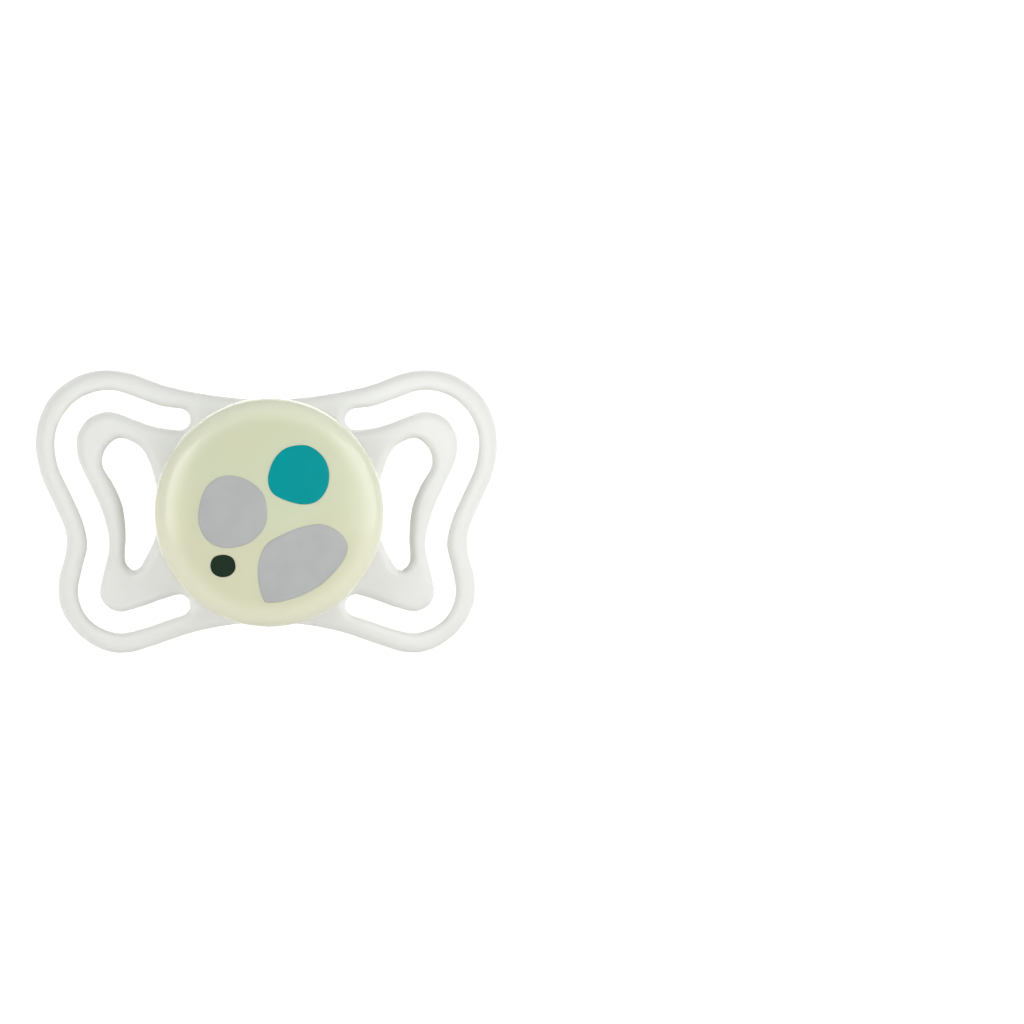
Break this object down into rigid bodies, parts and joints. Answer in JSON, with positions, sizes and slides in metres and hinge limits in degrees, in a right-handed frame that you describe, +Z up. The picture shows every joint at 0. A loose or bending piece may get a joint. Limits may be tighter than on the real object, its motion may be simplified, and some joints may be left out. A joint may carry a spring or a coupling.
{
  "type": "pacifier",
  "caption": "Baby soother with a slotted butterfly shield, a hollow silicone teat, a glow-pigment button and printed pebble spots.",
  "frame": {"origin": "on the axis of the button and the teat, at the front face of the shield's hub, where the button's stem rises", "axes": "+X to the right as seen from the front, across the two wings; +Y back towards the mouth, along the teat; +Z up"},
  "size_m": [0.0608, 0.0396, 0.0371],
  "materials": {
    "shield_plastic": "satin moulded polypropylene, slightly translucent white",
    "silicone": "clear silicone rubber, polished",
    "inner_plastic": "plain white moulded polypropylene",
    "glow_plastic": "satin cream-green plastic with afterglow pigment",
    "teal_ink": "printed ink",
    "grey_ink": "printed ink",
    "dark_ink": "printed ink"
  },
  "bodies": {
    "holder": {"shield": "shield_plastic", "teat_base": "silicone", "teat_plug": "inner_plastic", "button_base": "inner_plastic", "button_dome": "glow_plastic", "print_teal_pebble": "teal_ink", "print_grey_pebble": "grey_ink", "print_grey_leaf": "grey_ink", "print_dark_dot": "dark_ink"},
    "teat_tip": {"teat_bulb": "silicone"}
  },
  "joints": [
    {"name": "teat_flex", "type": "hinge", "parent": "holder", "child": "teat_tip", "pos_m": [0, 0.0115, 0], "axis": [1, 0, 0], "range_deg": [-22, 22], "stiffness_Nm_per_rad": 0.03}
  ]
}
